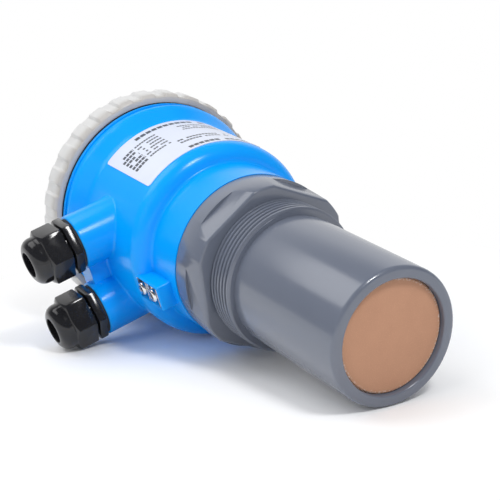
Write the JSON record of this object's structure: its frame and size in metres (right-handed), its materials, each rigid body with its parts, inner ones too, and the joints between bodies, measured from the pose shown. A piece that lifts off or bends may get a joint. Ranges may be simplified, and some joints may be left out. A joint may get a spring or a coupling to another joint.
{
  "type": "ultrasonic level transmitter",
  "caption": "Ultrasonic level transmitter: blue moulded housing with clear screw cover, cable glands and earth terminal on a grey threaded probe with a brown sensing face.",
  "frame": {"origin": "on the axis, at the seat of the process thread (the front face of the hexagon)", "axes": "+Z along the axis from the sensing face to the cover, -Y the way the cable glands point"},
  "size_m": [0.104, 0.1278, 0.198],
  "materials": {
    "blue_plastic": "satin moulded",
    "grey_plastic": "satin moulded and turned",
    "brown_layer": "matt, faintly speckled",
    "piezo_ceramic": "silvered",
    "black_rubber": "matt",
    "backing_compound": "matt cast",
    "lead_sheath": "smooth",
    "bright_steel": "bright plated",
    "label_film": "matt printed film",
    "clear_plastic": "clear, milky at the edge",
    "board_laminate": "lacquered",
    "brass": "turned",
    "black_plastic": "fine moulded",
    "panel_plastic": "satin",
    "lcd_glass": "smooth",
    "window_pane": "clear",
    "green_plastic": "satin",
    "key_rubber": "matt"
  },
  "bodies": {
    "transmitter": {"housing": "blue_plastic", "probe_body": "grey_plastic", "sensing_disc": "brown_layer", "piezo_disc": "piezo_ceramic", "isolation_ring": "black_rubber", "damping_backing": "backing_compound", "transducer_lead": "lead_sheath", "neck_seal": "black_rubber", "earth_washers": "bright_steel", "earth_screws": "bright_steel", "type_label": "label_film", "power_board": "board_laminate", "main_board": "board_laminate", "board_spacers": "brass", "board_screws": "bright_steel", "board_header": "black_plastic", "front_panel": "panel_plastic", "panel_screws": "bright_steel", "lcd_module": "lcd_glass", "display_window": "window_pane", "key_switches": "black_plastic", "terminal_block": "green_plastic", "terminal_screws": "bright_steel", "gland_gasket_left": "black_rubber", "gland_body_left": "black_plastic", "gland_gasket_right": "black_rubber", "gland_body_right": "black_plastic"},
    "cover_ring": {"cover_seal": "black_rubber"},
    "cover": {"clear_cover": "clear_plastic"},
    "insert_left": {"gland_seal_left": "black_rubber"},
    "nut_left": {"gland_nut_left": "black_plastic"},
    "insert_right": {"gland_seal_right": "black_rubber"},
    "nut_right": {"gland_nut_right": "black_plastic"},
    "key_menu": {"key_menu": "key_rubber"},
    "key_up": {"key_up": "key_rubber"},
    "key_down": {"key_down": "key_rubber"},
    "key_enter": {"key_enter": "key_rubber"}
  },
  "joints": [
    {"name": "cover_lift", "type": "slide", "parent": "transmitter", "child": "cover_ring", "axis": [0, 0, 1], "range_m": [0, 0.006]},
    {"name": "cover_turn", "type": "hinge", "parent": "cover_ring", "child": "cover", "pos_m": [0, 0, 0.1024], "axis": [0, 0, 1], "range_deg": [0, 540]},
    {"name": "nut_left_lift", "type": "slide", "parent": "transmitter", "child": "insert_left", "axis": [0, -1, 0], "range_m": [0, 0.0045]},
    {"name": "nut_left_turn", "type": "hinge", "parent": "insert_left", "child": "nut_left", "pos_m": [-0.0166, -0.06, 0.071], "axis": [0, -1, 0], "range_deg": [0, 1080]},
    {"name": "nut_right_lift", "type": "slide", "parent": "transmitter", "child": "insert_right", "axis": [0, -1, 0], "range_m": [0, 0.0045]},
    {"name": "nut_right_turn", "type": "hinge", "parent": "insert_right", "child": "nut_right", "pos_m": [0.0166, -0.06, 0.071], "axis": [0, -1, 0], "range_deg": [0, 1080]},
    {"name": "key_menu_press", "type": "slide", "parent": "transmitter", "child": "key_menu", "axis": [0, 0, -1], "range_m": [0, 0.0008], "stiffness_N_per_m": 1500, "springref_m": -0.0002},
    {"name": "key_up_press", "type": "slide", "parent": "transmitter", "child": "key_up", "axis": [0, 0, -1], "range_m": [0, 0.0008], "stiffness_N_per_m": 1500, "springref_m": -0.0002},
    {"name": "key_down_press", "type": "slide", "parent": "transmitter", "child": "key_down", "axis": [0, 0, -1], "range_m": [0, 0.0008], "stiffness_N_per_m": 1500, "springref_m": -0.0002},
    {"name": "key_enter_press", "type": "slide", "parent": "transmitter", "child": "key_enter", "axis": [0, 0, -1], "range_m": [0, 0.0008], "stiffness_N_per_m": 1500, "springref_m": -0.0002}
  ],
  "couplings": [
    {"joint": "cover_lift", "follows": "cover_turn", "m_per_rad": 0.00063662},
    {"joint": "nut_left_lift", "follows": "nut_left_turn", "m_per_rad": 0.00023873},
    {"joint": "nut_right_lift", "follows": "nut_right_turn", "m_per_rad": 0.00023873}
  ]
}
